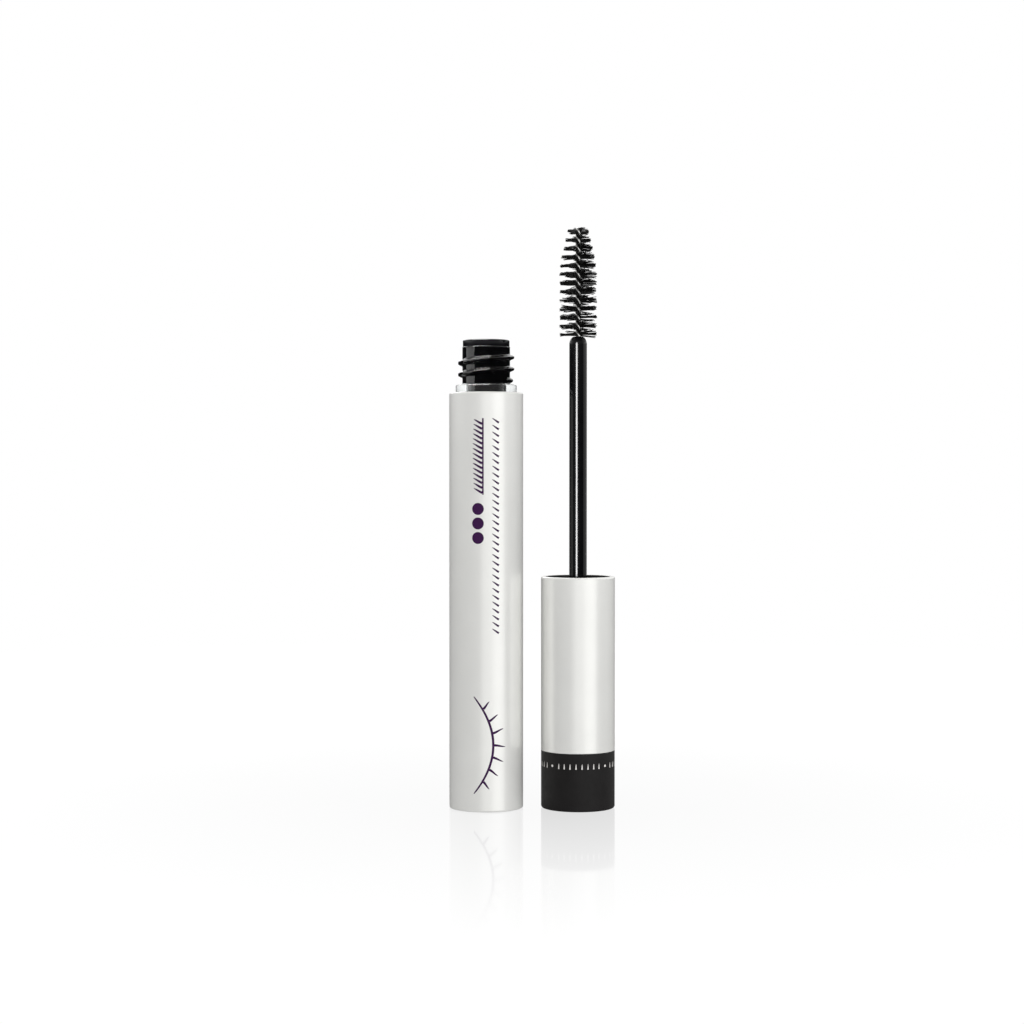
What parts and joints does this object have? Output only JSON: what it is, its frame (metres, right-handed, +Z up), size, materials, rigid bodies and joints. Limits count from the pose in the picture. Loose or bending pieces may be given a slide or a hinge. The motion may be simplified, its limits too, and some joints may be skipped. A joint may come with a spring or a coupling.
{
  "type": "mascara tube",
  "caption": "Open mascara: upright tube with a threaded neck and wiper, and beside it the screw cap with its rod and twisted-wire brush, standing on its end.",
  "frame": {"origin": "centre of the tube's base, on the tube's axis", "axes": "+Z up the tube's axis, +X from the tube's axis towards the wand's axis"},
  "size_m": [0.0359, 0.016, 0.1258],
  "materials": {
    "pearl_white": "pearl lacquer, soft gloss",
    "plug_white": "moulded, satin",
    "clear_bottle": "clear, polished",
    "wiper_black": "moulded, wet with mascara",
    "mascara_black": "wet cream",
    "band_black": "soft-touch matte",
    "liner_black": "moulded, satin",
    "seal_rubber": "satin",
    "rod_black": "polished gloss",
    "wire_steel": "drawn stainless wire",
    "bristle_nylon": "satin filament",
    "print_ink": "screen-printed ink, satin",
    "band_print": "screen-printed ink, satin"
  },
  "bodies": {
    "tube": {"tube_sleeve": "pearl_white", "base_plug": "plug_white", "bottle": "clear_bottle", "wiper": "wiper_black", "mascara_paste": "mascara_black"},
    "seal": {"seal_ring": "seal_rubber"},
    "wand": {"cap_sleeve": "pearl_white", "end_band": "band_black", "cap_liner": "liner_black", "rod": "rod_black", "core_wire": "wire_steel", "bristles": "bristle_nylon"}
  },
  "joints": [
    {"name": "wand_lift", "type": "slide", "parent": "tube", "child": "seal", "axis": [0, 0, 1], "range_m": [0, 0.15]},
    {"name": "cap_turn", "type": "hinge", "parent": "seal", "child": "wand", "pos_m": [0.0199, 0, 0.0382], "axis": [0, 0, 1], "continuous": true}
  ]
}
